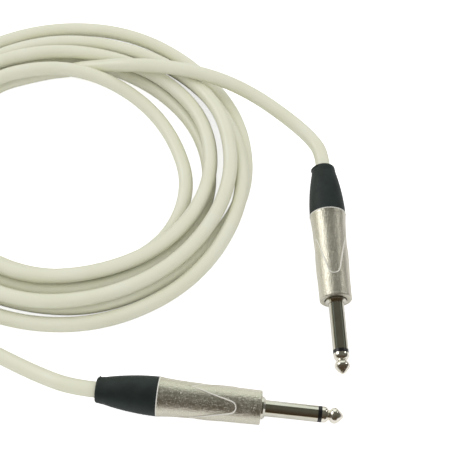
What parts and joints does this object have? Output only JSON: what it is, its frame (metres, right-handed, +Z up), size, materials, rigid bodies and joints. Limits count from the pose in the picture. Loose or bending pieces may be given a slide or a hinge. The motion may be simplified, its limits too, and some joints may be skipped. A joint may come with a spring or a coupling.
{
  "type": "instrument cable",
  "caption": "Flexible shielded instrument cable in a loose flat coil, with a straight mono phone plug at each end: satin metal shell with finger recesses, tapered rubber boot.",
  "frame": {"origin": "bottom centre of the box round the two plugs, on the surface that the cable lies on", "axes": "+Z up; +Y away from the viewer, along the second plug towards its boot; +X to the right, along the first plug towards its tip"},
  "size_m": [0.2141, 0.206, 0.0213],
  "materials": {
    "rubber_black": "matte",
    "nickel_satin": "satin, velvet texture",
    "nickel_bright": "polished",
    "plastic_black": "matte",
    "ring_black": "semi-gloss",
    "plastic_clear": "translucent film",
    "plastic_white": "matte",
    "brass_bare": "machined",
    "brass_tinned": "tinned",
    "copper_bare": "stranded",
    "solder": "dull",
    "jacket_ivory": "matte flexible vinyl"
  },
  "bodies": {
    "root": {"plug_1_boot": "rubber_black", "plug_1_shell": "nickel_satin", "plug_1_bush": "plastic_black", "plug_1_chuck": "plastic_black", "plug_1_liner": "plastic_clear", "plug_1_pin_sleeve": "nickel_bright", "plug_1_rod_insulator": "plastic_white", "plug_1_ring_insulator": "ring_black", "plug_1_tip": "nickel_bright", "plug_1_tip_rod": "brass_bare", "plug_1_rear_insulator": "plastic_black", "plug_1_tip_lug": "brass_tinned", "plug_1_ground_lug": "brass_tinned", "plug_1_jacket_end": "jacket_ivory", "plug_1_shield": "copper_bare", "plug_1_core_insulation": "plastic_white", "plug_1_conductor": "copper_bare", "plug_1_tip_solder": "solder", "plug_1_ground_solder": "solder", "plug_2_boot": "rubber_black", "plug_2_shell": "nickel_satin", "plug_2_bush": "plastic_black", "plug_2_chuck": "plastic_black", "plug_2_liner": "plastic_clear", "plug_2_pin_sleeve": "nickel_bright", "plug_2_rod_insulator": "plastic_white", "plug_2_ring_insulator": "ring_black", "plug_2_tip": "nickel_bright", "plug_2_tip_rod": "brass_bare", "plug_2_rear_insulator": "plastic_black", "plug_2_tip_lug": "brass_tinned", "plug_2_ground_lug": "brass_tinned", "plug_2_jacket_end": "jacket_ivory", "plug_2_shield": "copper_bare", "plug_2_core_insulation": "plastic_white", "plug_2_conductor": "copper_bare", "plug_2_tip_solder": "solder", "plug_2_ground_solder": "solder", "lead_1": "jacket_ivory", "coil": "jacket_ivory", "lead_2": "jacket_ivory"}
  },
  "joints": []
}
